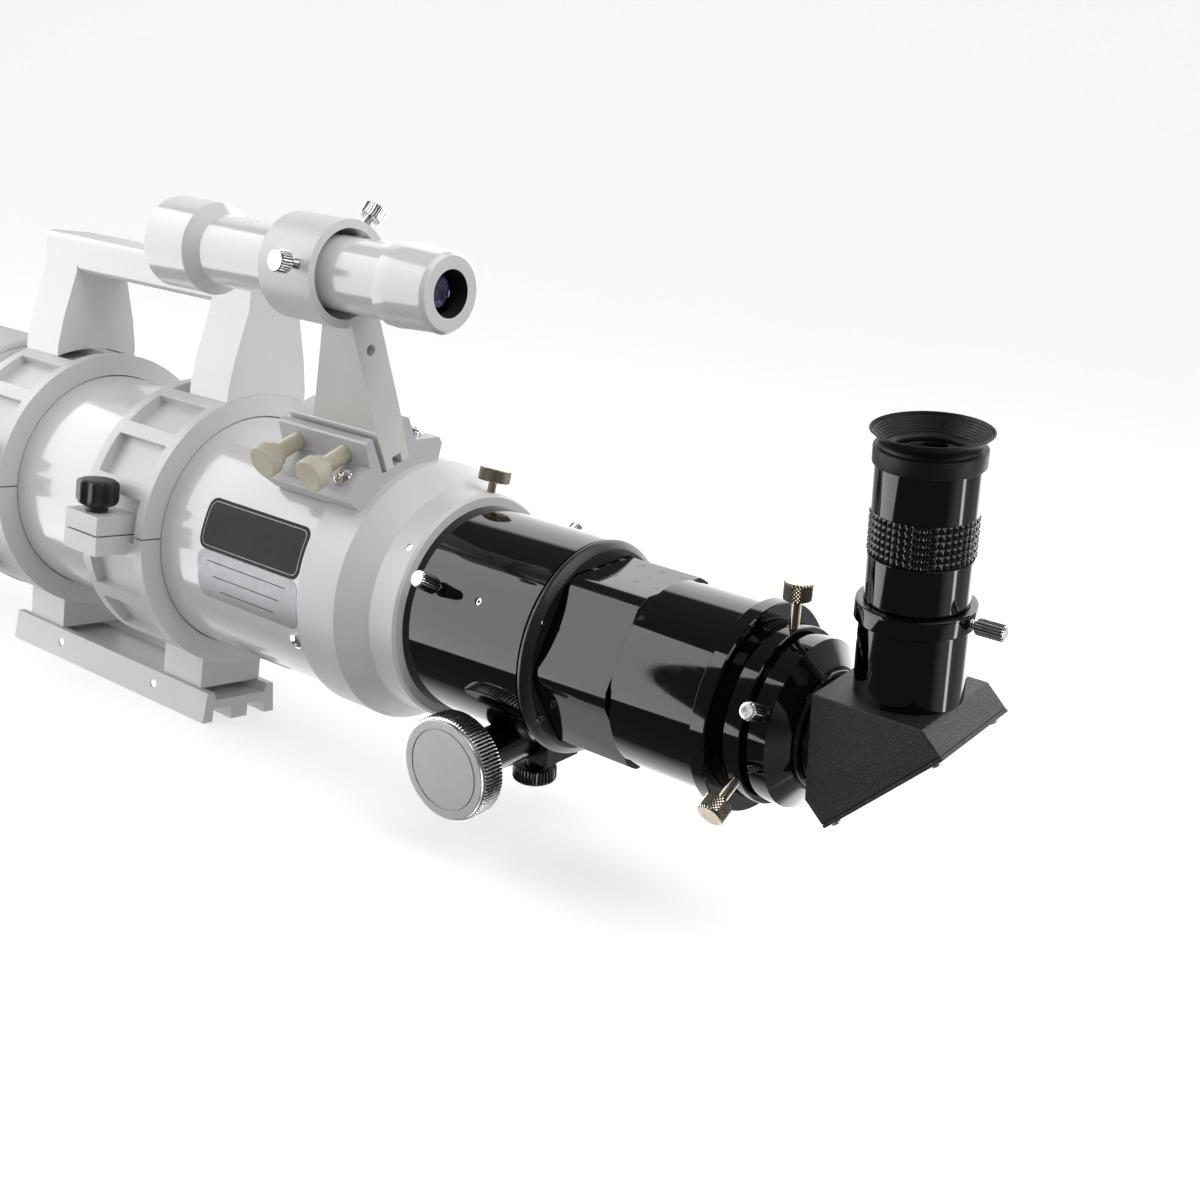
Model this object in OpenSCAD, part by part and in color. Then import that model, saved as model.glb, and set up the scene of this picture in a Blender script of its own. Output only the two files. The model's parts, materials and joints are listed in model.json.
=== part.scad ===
// Refractor telescope: achromat of 102 mm aperture with a hexagonal-drawtube rack-and-pinion focuser,
// star diagonal and eyepiece, finder, and a hinged cradle on a dovetail bar.
// Millimetres. The origin is the centre of the dovetail bar's underside. +X points to the eyepiece end,
// +Z up. The optical axis runs along X at height axis_h. Most parts are drawn in the optical frame, whose
// x is 0 at the rear face of the tube's rear cell; a roll leans a part towards the near side, -Y.

/* [Layout] */
// Height of the optical axis over the underside of the dovetail bar
axis_h = 94; // [90:1:110]
// Distance from the bar's centre to the rear face of the rear cell
cell_x = 224; // [222:1:230]
// Roll of the tube, with its finder shoe, in the cradle
finder_roll = 25; // [0:1:40]
// Roll of the focuser in the rear cell
focuser_roll = 8; // [0:1:30]
// Roll of the star diagonal in the focuser
diagonal_roll = 12.5; // [0:0.5:30]

/* [Tube] */
// Outer radius of the main tube
tube_r = 55; // [55:0.1:55.2]
// Wall of the main tube
tube_wall = 1.5; // [1.2:0.1:2]
// Distance from the rear cell's rear face to the front end of the tube
tube_front = 338; // [336:1:340]
// Outer radius of the rear cell's front band
cell_r = 57.3; // [57:0.1:58]
// Outer radius of the rear cell's narrow ring
cell_neck_r = 49.1; // [48.8:0.1:49.5]
// Clear radius of the objective
aperture_r = 51; // [50:0.5:51]
// Outer radius of the dew shield
dew_r = 63; // [62.5:0.1:64]
// Length of the dew shield
dew_l = 132; // [110:1:150]

/* [Focuser] */
// Outer radius of the focuser body
body_r = 44; // [43.9:0.1:44]
// Length of the focuser body behind the rear cell
body_l = 61.7; // [61:0.1:62.5]
// Apothem of the drawtube's hexagon
hex_a = 35.7; // [35.5:0.1:35.8]
// Corner radius of the drawtube's hexagon
hex_r = 39.4; // [39.2:0.1:39.5]
// Radius of the drawtube's round section
draw_r = 37.65; // [37.4:0.05:37.8]
// Inner radius of the drawtube
draw_bore = 31.5; // [31:0.1:32]
// Radius of the focus knobs
knob_r = 22.2; // [20:0.1:24]
// Distance from the focuser's middle plane to a focus knob's outer face
knob_face = 57; // [55:0.5:60]
// Tooth module of the rack and pinion
tooth_m = 1; // [1:0.01:1]

/* [Eyepiece end] */
// Radius of a two inch barrel
two_inch_r = 25.4; // [25.4:0.01:25.4]
// Radius of a one and a quarter inch barrel
small_r = 15.875; // [15.875:0.001:15.875]
// Distance from the rear cell's face to the eyepiece's axis
eye_x = 205; // [204.5:0.1:205.5]
// Half width of the diagonal's housing
diag_w = 23.6; // [22:0.1:25]
// Radius of the diagonal's eyepiece holder
holder_r = 19.06; // [18.5:0.01:19.5]
// Radius of the eyepiece's barrel
barrel_r = 17.75; // [17.6:0.05:17.9]

/* [Cradle] */
// Length of the dovetail bar
bar_l = 160; // [156:1:170]
// Width of the dovetail bar at its underside
bar_w = 44.6; // [44:0.1:46]
// Height of the dovetail bar
bar_h = 15; // [14:0.5:16]
// Outer radius of a cradle ring
ring_r = 65.8; // [65:0.1:67]
// Length of a cradle ring along the tube
ring_l = 46; // [40:1:48]

/* [Hidden] */
$fn = 96;
far = 400;          // reach of a cutting block
fit = 0.05;         // radial clearance of a running fit
gap = 0.3;          // clearance between parts that move past each other
white = "whitesmoke";
black = "#1a1a1c";
silver = "silver";

// ---- shared shapes, in the optical frame ----

module optical(roll = 0) {
    translate([cell_x, 0, axis_h])
        rotate([roll, 0, 0])
            children();
}

// solid of revolution about X from points [x, r]
module turned(points) {
    rotate([0, 90, 0])
        rotate_extrude()
            polygon([for (p = points) [p[1], p[0]]]);
}

module rod(x0, x1, r) {
    translate([x0, 0, 0])
        rotate([0, 90, 0])
            cylinder(h = x1 - x0, r = r);
}

module sleeve(x0, x1, outer, inner) {
    difference() {
        rod(x0, x1, outer);
        rod(x0 - 1, x1 + 1, inner);
    }
}

// children's Z axis points radially outwards at angle from the top, towards the near side, at station x
module radial(angle, x) {
    translate([x, 0, 0])
        rotate([angle, 0, 0])
            children();
}

// screw along Z: shank from tip to neck, head from neck to top
module screw(shank, tip, neck, top, head, edge = 0.6) {
    rotate_extrude()
        polygon([[0, tip], [shank, tip], [shank, neck], [head - edge, neck], [head, neck + edge],
            [head, top - edge], [head - edge, top], [0, top]]);
}

// lens about X: edge from x0 to x1, faces of radius front and back, positive where the face bulges
function bulge(r, rad) = rad == 0 ? 0 : sign(rad) * (abs(rad) - sqrt(rad * rad - r * r));
module lens(x0, x1, r, front, back) {
    steps = 10;
    turned(concat(
        [for (i = [0:steps]) let (q = r * i / steps) [x0 - bulge(r, front) + bulge(q, front), q]],
        [for (i = [steps:-1:0]) let (q = r * i / steps) [x1 + bulge(r, back) - bulge(q, back), q]]));
}

// ---- dovetail bar and cradle ----

bar_top_w = bar_w - 3.6;
bar_front = -bar_l / 2;
bar_rear = bar_l / 2;
web_low = 6.5;
web_high = bar_h - 4;
leg_in = 16.2;
leg_mid = 5;
rim_in = 16.5;
ring_rear_x = bar_rear - ring_l / 2;      // middle of the rear ring
ring_front_x = bar_front + ring_l / 2;
bolt_r = 2.5;
bolt_head_r = 4;
side_screw_x = 39;
side_screw_r = 2;
stud_x = 25;                              // station of the bar's quarter inch threaded socket
stud_r = 3.175;

module dovetail_bar() color(white) difference() {
    rotate([90, 0, 90])
        linear_extrude(bar_l, center = true)
            polygon([[-bar_w / 2, 0], [-leg_in, 0], [-leg_in, web_low], [-leg_mid, web_low], [-leg_mid, 0],
                [leg_mid, 0], [leg_mid, web_low], [leg_in, web_low], [leg_in, 0], [bar_w / 2, 0],
                [bar_top_w / 2, bar_h], [rim_in, bar_h], [rim_in - 1.5, web_high],
                [1.5 - rim_in, web_high], [-rim_in, bar_h], [-bar_top_w / 2, bar_h]]);
    for (x = [ring_rear_x, ring_front_x]) {
        translate([x, 0, -1])
            cylinder(h = bar_h + 2, r = bolt_r + fit);
        translate([x, 0, -1])
            cylinder(h = web_low + 1, r = bolt_head_r + gap);
    }
    translate([stud_x, 0, -1])
        cylinder(h = bar_h, r = stud_r);
    for (x = [-side_screw_x, side_screw_x])
        translate([x, -rim_in, web_low + 1.8])
            rotate([90, 0, 0])
                cylinder(h = bar_w, r = side_screw_r + fit);
}

module base_bolts() color(silver) {
    for (x = [ring_rear_x, ring_front_x])
        translate([x, 0, 0]) {
            difference() {
                translate([0, 0, 1])
                    cylinder(h = web_low - 1, r = bolt_head_r);
                translate([0, 0, 0.9])
                    cylinder(h = 3, r = 2.3, $fn = 6);
            }
            translate([0, 0, web_low])
                cylinder(h = 17, r = bolt_r);
        }
    for (x = [-side_screw_x, side_screw_x])
        translate([x, -rim_in - 0.5, web_low + 1.8])
            rotate([90, 0, 0])
                cylinder(h = 4, r = side_screw_r);
}

// a cradle ring about the optical axis, centred on x = 0
bore_r = tube_r + gap;
web_r = 61;
flange_l = 6;
rib_step = 24;
split = gap;                              // half of the gap between the ring's halves
foot_w = 36.4;
foot_l = ring_l - 17;
foot_z = bar_h - axis_h;
hinge_y = 71;
hinge_r = 6.5;
pin_r = 3;
knuckle = 15;                             // length of the base's two knuckles
lug_y = 74;
lug_w = 16;
lug_h = 9;
lug_l = 24;
clamp_r = 3;

module ring_blank() {
    difference() {
        rod(-ring_l / 2, ring_l / 2, ring_r);
        rod(-ring_l, ring_l, bore_r);
        for (a = [0:rib_step:359])
            radial(a + rib_step / 2, 0)
                rotate([0, 0, 90])
                    translate([0, 0, web_r])
                        linear_extrude(ring_r)
                            square([20, ring_l - 2 * flange_l], center = true);
    }
}

module lug(low, high) {
    translate([-lug_l / 2, -lug_y - lug_w / 2, low])
        cube([lug_l, lug_w + 6, high - low]);
}

module ring_base() color(white) difference() {
    union() {
        intersection() {
            ring_blank();
            translate([-far / 2, -far / 2, -far - split])
                cube([far, far, far]);
        }
        lug(-lug_h, -split);
        translate([-foot_l / 2, -foot_w / 2, foot_z])
            cube([foot_l, foot_w, -foot_z - web_r + 4]);
        for (s = [-1, 1])
            translate([s * (ring_l - knuckle) / 2, 0, 0]) {
                translate([0, hinge_y, 0])
                    rotate([0, 90, 0])
                        cylinder(h = knuckle, r = hinge_r, center = true);
                translate([-knuckle / 2, hinge_y - 11, -hinge_r])
                    cube([knuckle, 11, hinge_r - split]);
            }
    }
    rod(-ring_l, ring_l, bore_r);
    translate([0, hinge_y, 0])
        rotate([0, 90, 0])
            cylinder(h = ring_l + 2, r = pin_r + 0.02, center = true);
    translate([-(ring_l - 2 * knuckle) / 2 - gap, hinge_y - hinge_r - gap, -hinge_r - 2 * gap])
        cube([ring_l - 2 * knuckle + 2 * gap, far, 3 * hinge_r]);
    translate([0, -lug_y, -lug_h - 1])
        cylinder(h = lug_h + 2, r = clamp_r + 1);
    translate([0, 0, foot_z - 1])
        cylinder(h = 14, r = bolt_r + fit);
}

module ring_cap() color(white) difference() {
    union() {
        intersection() {
            ring_blank();
            translate([-far / 2, -far / 2, split])
                cube([far, far, far]);
        }
        lug(split, lug_h);
        translate([0, hinge_y, 0])
            rotate([0, 90, 0])
                cylinder(h = ring_l - 2 * knuckle - gap, r = hinge_r, center = true);
        translate([-(ring_l - 2 * knuckle - gap) / 2, hinge_y - 11, split])
            cube([ring_l - 2 * knuckle - gap, 11, hinge_r - split]);
    }
    rod(-ring_l, ring_l, bore_r);
    translate([0, hinge_y, 0])
        rotate([0, 90, 0])
            cylinder(h = ring_l + 2, r = pin_r + fit, center = true);
    for (s = [-1, 1])
        translate([s * (ring_l - knuckle) / 2, hinge_y, 0])
            rotate([0, 90, 0])
                cylinder(h = knuckle + gap, r = hinge_r + gap, center = true);
    translate([0, -lug_y, -1])
        cylinder(h = lug_h + 2, r = clamp_r + fit);
}

module at_ring(x) {
    translate([x, 0, axis_h])
        children();
}

module ring_base_rear() at_ring(ring_rear_x) ring_base();
module ring_base_front() at_ring(ring_front_x) ring_base();
module ring_cap_rear() at_ring(ring_rear_x) ring_cap();
module ring_cap_front() at_ring(ring_front_x) ring_cap();

module ring_hinge_pins() color(silver)
    for (x = [ring_rear_x, ring_front_x])
        at_ring(x)
            translate([0, hinge_y, 0])
                rotate([0, 90, 0])
                    cylinder(h = ring_l, r = pin_r, center = true);

module clamp_knob() color(black)
    translate([0, -lug_y, 0]) {
        translate([0, 0, -lug_h])
            cylinder(h = 2 * lug_h + gap, r = clamp_r);
        translate([0, 0, lug_h + gap])
            rotate_extrude()
                polygon([[0, 0], [5, 0], [5, 2], [9, 4], [9.6, 5], [9.6, 13], [8.6, 14.4], [0, 14.4]]);
    }

module clamp_knob_rear() at_ring(ring_rear_x) clamp_knob();
module clamp_knob_front() at_ring(ring_front_x) clamp_knob();

// carrying handle across both caps, with a camera screw socket in its top
pillar_w = 46.8;
pillar_l = 27;
crease_z = 81;
crease_w = 42;
pillar_top = 104;
grip_w = 30;
grip_h = 18;
grip_edge = 4;

module handle_pillar(end) {
    translate([end * (bar_rear - pillar_l / 2), 0, 0])
        rotate([90, 0, 90])
            linear_extrude(pillar_l, center = true)
                polygon([[-pillar_w / 2, 50], [pillar_w / 2, 50], [pillar_w / 2, 67], [crease_w / 2, crease_z],
                    [grip_w / 2, pillar_top], [grip_w / 2, pillar_top + 5], [-grip_w / 2, pillar_top + 5],
                    [-grip_w / 2, pillar_top], [-crease_w / 2, crease_z], [-pillar_w / 2, 67]]);
}

module carry_handle() color(white) translate([0, 0, axis_h]) difference() {
    union() {
        handle_pillar(1);
        handle_pillar(-1);
        rotate([90, 0, 90])
            linear_extrude(bar_l, center = true) {
                translate([0, pillar_top + grip_h / 2])
                    square([grip_w, grip_h - 2 * grip_edge], center = true);
                translate([0, pillar_top + grip_h / 2])
                    square([grip_w - 2 * grip_edge, grip_h], center = true);
                for (s = [-1, 1], z = [grip_edge, grip_h - grip_edge])
                    translate([s * (grip_w / 2 - grip_edge), pillar_top + z])
                        circle(r = grip_edge);
            }
    }
    rod(-far, far, ring_r + 0.05);
    translate([0, 0, pillar_top + grip_h - 12])
        cylinder(h = 20, r = stud_r);
}

// ---- tube, rear cell and objective ----

tube_in = tube_r - tube_wall;
cell_front = -49.3;
cone_front = -27;
cone_rear = -14.4;
spigot_l = 13;
thumb_cell_x = -5;
cell_thumb_roll = -7.4;
cell_screw_roll = 55;
tube_screw_x = -55;
tube_screw_roll = 116;
small_screw_r = 1.5;

module main_tube() color(white) optical() sleeve(-tube_front, -35.1, tube_r, tube_in);

module rear_cell() color(white) optical() difference() {
    turned([[cell_front, tube_r + 0.02], [cell_front, cell_r - 0.3], [cell_front + 0.3, cell_r],
        [cone_front, cell_r], [cone_rear, cell_neck_r], [-1.2, cell_neck_r], [0, cell_neck_r - 1.2],
        [0, body_r + fit], [-spigot_l - 0.1, body_r + fit], [-spigot_l - 0.1, 41], [-18, 41],
        [cone_front, 50.5], [-35, 50.5], [-35, tube_r + 0.02]]);
    radial(cell_thumb_roll, thumb_cell_x)
        cylinder(h = far, r = 2 + fit);
    for (a = [0, 120, 240])
        radial(cell_screw_roll + a, thumb_cell_x)
            cylinder(h = far, r = small_screw_r + fit);
}

// Phillips screws of the tube and set screws of the rear cell
module tube_screws() color(silver) {
    for (a = [0, 90, 180])
        optical()
            radial(tube_screw_roll + a, tube_screw_x)
                translate([0, 0, tube_r + 0.05])
                    pan_head(3.4, 2.2);
    for (a = [0, 120, 240])
        optical()
            radial(cell_screw_roll + a, thumb_cell_x)
                translate([0, 0, body_r + 0.4])
                    difference() {
                        cylinder(h = 4.2, r = small_screw_r);
                        translate([0, 0, 2.5])
                            cylinder(h = 3, r = 0.8, $fn = 6);
                    }
    for (s = [-1, 1])
        shoe_frame()
            translate([shoe_screw_x, s * shoe_screw_y, wing_z(shoe_screw_y)])
                rotate([-s * wing_tilt, 0, 0])
                    translate([0, 0, 0.05])
                        pan_head(4.3, 3.2);
}

module pan_head(r, h) {
    difference() {
        intersection() {
            cylinder(h = h, r = r);
            translate([0, 0, h - 1.6 * r])
                sphere(r = 1.6 * r);
        }
        for (a = [0, 90])
            rotate([0, 0, a])
                translate([-r * 0.6, -r * 0.12, h - 1.1])
                    cube([r * 1.2, r * 0.24, 2]);
    }
}

// name plate that wraps the tube, on the near side
label_front = -117.7;
label_rear = -53;
label_from = 62.3;
label_to = 110.2;
module tube_label() color(black) optical() intersection() {
    sleeve(label_front, label_rear, tube_r + 0.35, tube_r + 0.03);
    rotate([0, 90, 0])
        linear_extrude(far, center = true)
            polygon([[0, 0], for (a = [label_from:12:label_to + 11]) let (q = min(a, label_to))
                -2 * tube_r * [cos(q), sin(q)]]);
}

objective_x = -340;                       // seat of the rear lens
cell_wall_r = dew_r - 3;
lens_r = 52.7;
retainer_x = -352.6;

module objective_cell() color(white) optical()
    turned([[-356, lens_r + 0.15], [-356, cell_wall_r - 0.6], [-355.4, cell_wall_r], [-324, cell_wall_r],
        [-324, tube_r + 0.02], [-tube_front - 0.05, tube_r + 0.02], [-tube_front - 0.05, aperture_r],
        [objective_x, aperture_r], [objective_x, lens_r + 0.15]]);

module flint_lens() color("lightblue") optical() lens(objective_x - 5, objective_x - 0.1, lens_r, -360, 900);
module crown_lens() color("lightcyan") optical() lens(retainer_x + 0.4, objective_x - 5.4, lens_r, 365, 340);

module lens_retainer() color(black) optical() sleeve(retainer_x - 2.8, retainer_x, lens_r + 0.1, aperture_r);

baffle_t = 1.2;
module tube_baffles() color(black) optical()
    for (b = [[-130, 41], [-200, 44.5], [-270, 48.5]])
        turned([[b[0], tube_in - 0.05], [b[0] + baffle_t, tube_in - 0.05], [b[0] + baffle_t, b[1] + 1],
            [b[0], b[1]]]);

dew_rear = -326;
module dew_shield() color(white) optical()
    turned([[dew_rear - dew_l, dew_r - 2.2], [dew_rear - dew_l, dew_r - 0.8], [dew_rear - dew_l + 0.8, dew_r],
        [dew_rear - 0.6, dew_r], [dew_rear, dew_r - 0.6], [dew_rear, cell_wall_r + 0.08],
        [dew_rear - 31.5, cell_wall_r + 0.08], [dew_rear - 33, dew_r - 2.2]]);

module cell_thumbscrew() color(silver) optical()
    radial(cell_thumb_roll, thumb_cell_x)
        screw(2, body_r - 1.6, 53.5, 59.3, 7);

// ---- finder shoe and finder ----

shoe_front = -84.8;
shoe_rear = -31.1;
shoe_floor = 61.8;
shoe_top = 78.5;
shoe_screw_x = -40;
shoe_screw_y = 20.5;
wing_y = 13.6;                            // foot of a rail's outer wall
wing_slope = 0.38;
wing_tilt = atan(wing_slope);
groove_low = 7.8;
groove_high = 8.7;
knob_z = 71;
knob_shank_r = 3.8;
shoe_knob_x = [-73.8, -45.2];
function wing_z(y) = 67 - (y - wing_y) * wing_slope;

module shoe_frame() {
    optical(finder_roll)
        children();
}

module finder_shoe() color("gainsboro") shoe_frame() difference() {
    rotate([90, 0, 90])
        translate([0, 0, shoe_front])
            linear_extrude(shoe_rear - shoe_front)
                polygon([[0, 56.2], [10, 56.2], [23, 51.2], [28, 58.4], [27.2, wing_z(27.2)],
                    [wing_y, wing_z(wing_y)], [12.9, shoe_top - 0.8], [12.1, shoe_top],
                    [groove_high, shoe_top - 0.3], [groove_low, shoe_floor], [-groove_low, shoe_floor], [-groove_high, shoe_top - 0.3], [-12.1, shoe_top],
                    [-12.9, shoe_top - 0.8], [-wing_y, wing_z(wing_y)], [-27.2, wing_z(27.2)], [-28, 58.4],
                    [-23, 51.2], [-10, 56.2]]);
    rod(-far, cell_front - 0.5, tube_r + 0.05);
    rod(cell_front - 0.6, far, cell_r + 0.1);
    for (x = shoe_knob_x)
        translate([x, 0, knob_z])
            rotate([90, 0, 0])
                cylinder(h = 20, r = knob_shank_r + fit);
}

module shoe_knob(x) color("antiquewhite") shoe_frame()
    translate([x, 0, knob_z])
        rotate([90, 0, 0])
            rotate_extrude()
                polygon([[0, 6.7], [3.2, 6.7], [knob_shank_r, 7.3], [knob_shank_r, 25.4], [5.2, 25.7],
                    [5.4, 26], [5.4, 28.9], [6.6, 29.2], [7.2, 29.8], [7.2, 34.1], [6.5, 34.8], [0, 34.8]]);
module shoe_knob_front() shoe_knob(shoe_knob_x[0]);
module shoe_knob_rear() shoe_knob(shoe_knob_x[1]);

finder_z = 146;
finder_r = 14.5;
finder_front = -138;
finder_rear = 22;
hoop_front = -62;
hoop_rear = -33;
stalk_rear = -30.4;
stalk_w = 15;
foot_top = 80.3;                          // top of the bracket's foot, over the rails
hoop_r = 21;
hoop_bore = 17.6;
finder_screw_x = -40;
finder_screw_roll = 60;

module finder_bracket() color(white) shoe_frame() difference() {
    union() {
        rotate([90, 0, 90])
            translate([0, 0, shoe_front + 1])
                linear_extrude(stalk_rear - shoe_front - 1)
                    polygon([[-5.6, shoe_floor + 0.3], [groove_low - 0.3, shoe_floor + 0.3],
                        [groove_high - 0.35, shoe_top], [groove_high - 0.35, foot_top - 0.4],
                        [groove_high - 0.75, foot_top], [-6.6, foot_top], [-7, foot_top - 0.4], [-7, 78.6],
                        [-6.6, 78.2]]);
        translate([0, 1, 0])
            rotate([90, 0, 0])
                linear_extrude(stalk_w, center = true)
                    polygon([[-69, foot_top - 1], [stalk_rear, foot_top - 1], [stalk_rear, finder_z - 16],
                        [-46, finder_z - 16]]);
        translate([0, 0, finder_z])
            rod(hoop_front, hoop_rear, hoop_r);
    }
    translate([0, 0, finder_z]) {
        rod(hoop_front + 5, hoop_rear + 1, hoop_bore);
        rod(hoop_front - 1, hoop_rear + 1, finder_r + 0.02);
        for (a = [-finder_screw_roll, finder_screw_roll])
            radial(a, finder_screw_x)
                cylinder(h = far, r = 2 + fit);
    }
    translate([0, 0.3, 114])
        rod(stalk_rear - 12, stalk_rear + 1, 2.3);
    translate([stalk_rear - 8, -1.5, shoe_floor])
        cube([10, 5, 4.5]);
}

module finder_tube() color(white) shoe_frame() translate([0, 0, finder_z])
    turned([[finder_front, 17], [finder_front, 18.4], [finder_front + 1, 19], [-112, 19], [-106, finder_r],
        [-4, finder_r], [-4, 16], [2, 16.4], [finder_rear - 1.5, 15.4], [finder_rear, 14], [finder_rear, 9],
        [finder_rear - 6, 8.4], [finder_rear - 6, 10], [0, 12.8], [-106, 12.8], [-112, 16], [-130, 16],
        [-130, 17]]);

module finder_lenses() color("lightblue") shoe_frame() translate([0, 0, finder_z]) {
    lens(-129.9, -125, 15.9, 70, -200);
    lens(finder_rear - 13, finder_rear - 9, 9.9, 24, 24);
}

module finder_screw(side) color(silver) shoe_frame() translate([0, 0, finder_z])
    radial(side * finder_screw_roll, finder_screw_x)
        screw(2, finder_r + 0.35, 26, 32, 4.5);
module finder_screw_left() finder_screw(1);
module finder_screw_right() finder_screw(-1);

// ---- focuser ----

end_ring_l = 5.4;
end_ring_rear = body_l + 0.05 + end_ring_l;
body_bore = 41.2;
body_thumb_x = 13.8;
body_thumb_roll = 60.4;
body_screw_x = 35.8;
teeth = 13;
pitch_r = teeth * tooth_m / 2;
rack_depth = 38.6;                        // rack's pitch line below the optical axis
pinion_x = 36.5;
pinion_z = -(rack_depth + pitch_r);
shaft_r = 3;
boss_r = 9.5;
boss_l = 40;
block_w = 20;

module focuser_frame() {
    optical(focuser_roll)
        children();
}

module focuser_body() color(black) focuser_frame() difference() {
    turned([[-spigot_l, body_bore], [-spigot_l, body_r - 0.5], [-spigot_l + 0.5, body_r],
        [thumb_cell_x - 3, body_r], [thumb_cell_x - 3, body_r - 2], [thumb_cell_x + 3, body_r - 2],
        [thumb_cell_x + 3, body_r], [body_l, body_r], [body_l, body_bore]]);
    for (s = [-1, 1]) {
        radial(s * body_thumb_roll, body_thumb_x)
            cylinder(h = far, r = 1.8 + fit);
        radial(s * body_thumb_roll, body_screw_x)
            cylinder(h = far, r = small_screw_r + fit);
    }
    translate([pinion_x - 9.5, -5.2, -body_r - 5])
        cube([19, 10.4, 12]);
    across(pinion_x, pinion_z, 2 * boss_l, shaft_r + gap);
}

// hexagon with flats above and below, its corners rounded to radius r
module hexagon(a, r) {
    intersection() {
        rotate(30)
            circle(r = a / cos(30), $fn = 6);
        circle(r = r);
    }
}

module hex_bar(x0, x1, a, r) {
    translate([x0, 0, 0])
        rotate([0, 90, 0])
            linear_extrude(x1 - x0)
                hexagon(a, r);
}

bead_r = 1.9;
module focuser_end_ring() color(black) focuser_frame() difference() {
    turned(concat([[body_l + 0.05, 30], [body_l + 0.05, body_r - 1.3]],
        [for (a = [15:15:150]) [body_l + 2.2 - bead_r * cos(a), body_r - 1.3 + bead_r * sin(a)]],
        [[end_ring_rear - 0.6, body_r - 1.6], [end_ring_rear, body_r - 2.6], [end_ring_rear, 30]]));
    hex_bar(body_l - 1, end_ring_rear + 1, hex_a + 0.35, hex_r + 0.35);
    translate([body_l - 1, -3.6, -40.2])
        cube([end_ring_l + 3, 7.2, 10]);
    for (a = [60, 120, 240, 300])
        radial(a, body_l)
            translate([0, 0, 40])
                rotate([0, 90, 0])
                    cylinder(h = 20, r = small_screw_r + 0.3 + fit, center = true);
}

module focuser_screws() color(silver) focuser_frame() {
    for (a = [60, 120, 240, 300])
        radial(a, body_l + 0.3)
            translate([0, 0, 40])
                rotate([0, 90, 0])
                    difference() {
                        cylinder(h = end_ring_l - 0.1, r = small_screw_r + 0.3);
                        translate([0, 0, 3.5])
                            cylinder(h = 3, r = 0.9, $fn = 6);
                    }
    for (s = [-1, 1])
        radial(s * body_thumb_roll, body_screw_x)
            translate([0, 0, body_bore + 0.2])
                difference() {
                    cylinder(h = 2, r = small_screw_r);
                    translate([0, 0, 1])
                        cylinder(h = 3, r = 0.8, $fn = 6);
                }
}

// bearing strips between the drawtube's flats and the body
module guide_pads() color("ivory") focuser_frame()
    for (a = [0, 120, 240])
        rotate([a, 0, 0])
            intersection() {
                rod(4, 58, body_bore - 0.03);
                translate([0, -8, hex_a + 0.1])
                    cube([60, 16, 10]);
            }

module across(x, z, h, r) {
    translate([x, 0, z])
        rotate([90, 0, 0])
            cylinder(h = h, r = r, center = true);
}

module pinion_housing() color(black) focuser_frame() difference() {
    union() {
        translate([pinion_x - 15, -block_w / 2, pinion_z - boss_r])
            cube([30, block_w, boss_r + 5]);
        across(pinion_x, pinion_z, block_w + 1.4, boss_r - 0.8);
        for (s = [-1, 1])
            translate([0, s * (block_w / 2 + 0.7 + boss_l) / 2, 0])
                across(pinion_x, pinion_z, boss_l - block_w / 2 - 0.7, boss_r);
    }
    rod(-far, far, body_r + 0.03);
    across(pinion_x, pinion_z, 2 * boss_l, shaft_r + fit);
    across(pinion_x, pinion_z, 9.4, pitch_r + 1.7);
    translate([pinion_x, 0, pinion_z - boss_r - 5])
        cylinder(h = boss_r, r = 2.5 + fit);
}

// spur gear outline by involute flanks, a tooth on the Y axis
base_r = pitch_r * cos(20);
tip_r = pitch_r + 0.9 * tooth_m;
root_r = pitch_r - 1.15 * tooth_m;
backlash = 0.16;
function involute(t) = base_r * [sin(t) - t * PI / 180 * cos(t), cos(t) + t * PI / 180 * sin(t)];
function t_at(r) = sqrt(pow(r / base_r, 2) - 1) * 180 / PI;
function angle_at(t) = atan2(involute(t)[0], involute(t)[1]);
half_tooth = 90 / teeth - backlash / 2 / pitch_r * 180 / PI;
flank_turn = half_tooth + angle_at(t_at(pitch_r));
function turn(p, a) = [p[0] * cos(a) + p[1] * sin(a), p[1] * cos(a) - p[0] * sin(a)];
flank_steps = 4;
function tooth(a) = concat(
    [turn([0, root_r], a - flank_turn)],
    [for (i = [0:flank_steps]) turn(involute(i / flank_steps * t_at(tip_r)), a - flank_turn)],
    [for (i = [flank_steps:-1:0]) let (p = involute(i / flank_steps * t_at(tip_r)))
        turn([-p[0], p[1]], a + flank_turn)],
    [turn([0, root_r], a + flank_turn)]);

module pinion_shaft() color(silver) focuser_frame() {
    across(pinion_x, pinion_z, 2 * knob_face - 3, shaft_r);
    translate([pinion_x, 0, pinion_z])
        rotate([90, 0, 0])
            linear_extrude(8, center = true)
                difference() {
                    polygon([for (i = [0:teeth - 1]) each tooth(i * 360 / teeth)]);
                    circle(r = shaft_r - 0.5);
                }
}

module focus_knob(side) color(silver) focuser_frame()
    translate([pinion_x, 0, pinion_z])
        rotate([side * 90, 0, 0])
            difference() {
                rotate_extrude()
                    polygon([[0, 41], [14.5, 41], [15, 41.5], [15, 45], [knob_r - 0.8, 45], [knob_r, 45.8],
                        [knob_r, knob_face - 1.2], [knob_r - 1.2, knob_face], [17.4, knob_face],
                        [17.4, knob_face - 0.7], [16.8, knob_face - 0.7], [16.8, knob_face], [0, knob_face]]);
                cylinder(h = knob_face - 1.45, r = shaft_r + 0.01);
            }
module focus_knob_left() focus_knob(1);
module focus_knob_right() focus_knob(-1);

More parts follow.
